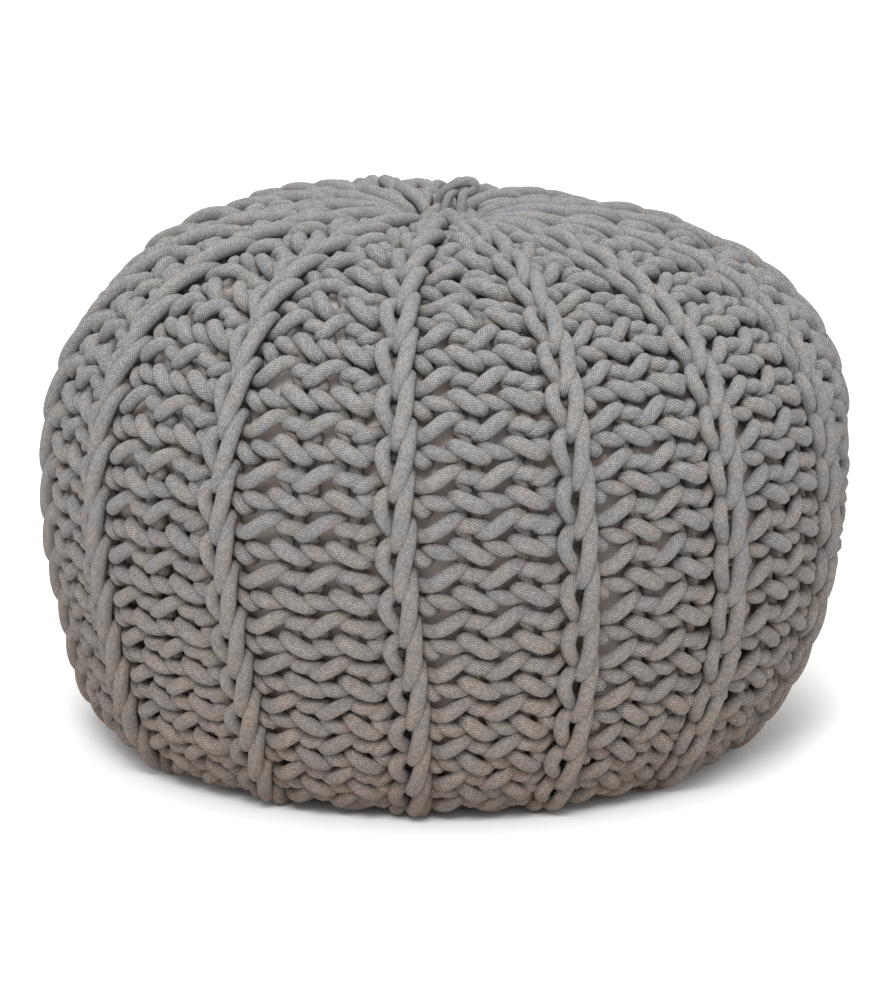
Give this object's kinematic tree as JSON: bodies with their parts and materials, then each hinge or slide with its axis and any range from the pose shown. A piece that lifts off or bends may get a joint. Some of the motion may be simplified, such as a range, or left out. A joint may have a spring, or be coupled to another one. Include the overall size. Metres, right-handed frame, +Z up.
{
  "type": "knitted pouf",
  "caption": "Round knitted cotton pouf in grey braided cord, with raised plaited ribs from crown to foot, purl panels between them and a small closing loop.",
  "frame": {"origin": "centre of the flat foot, on the floor", "axes": "+Z up through the crown; the pictured side faces -Y, with +X to its right"},
  "size_m": [0.499, 0.4978, 0.3514],
  "materials": {
    "knitted_cord": "matt braided cotton cord, warm grey",
    "closing_cord": "matt braided cotton cord, warm grey"
  },
  "bodies": {
    "root": {"knitted_cover": "knitted_cord", "closing_loop": "closing_cord"}
  },
  "joints": []
}
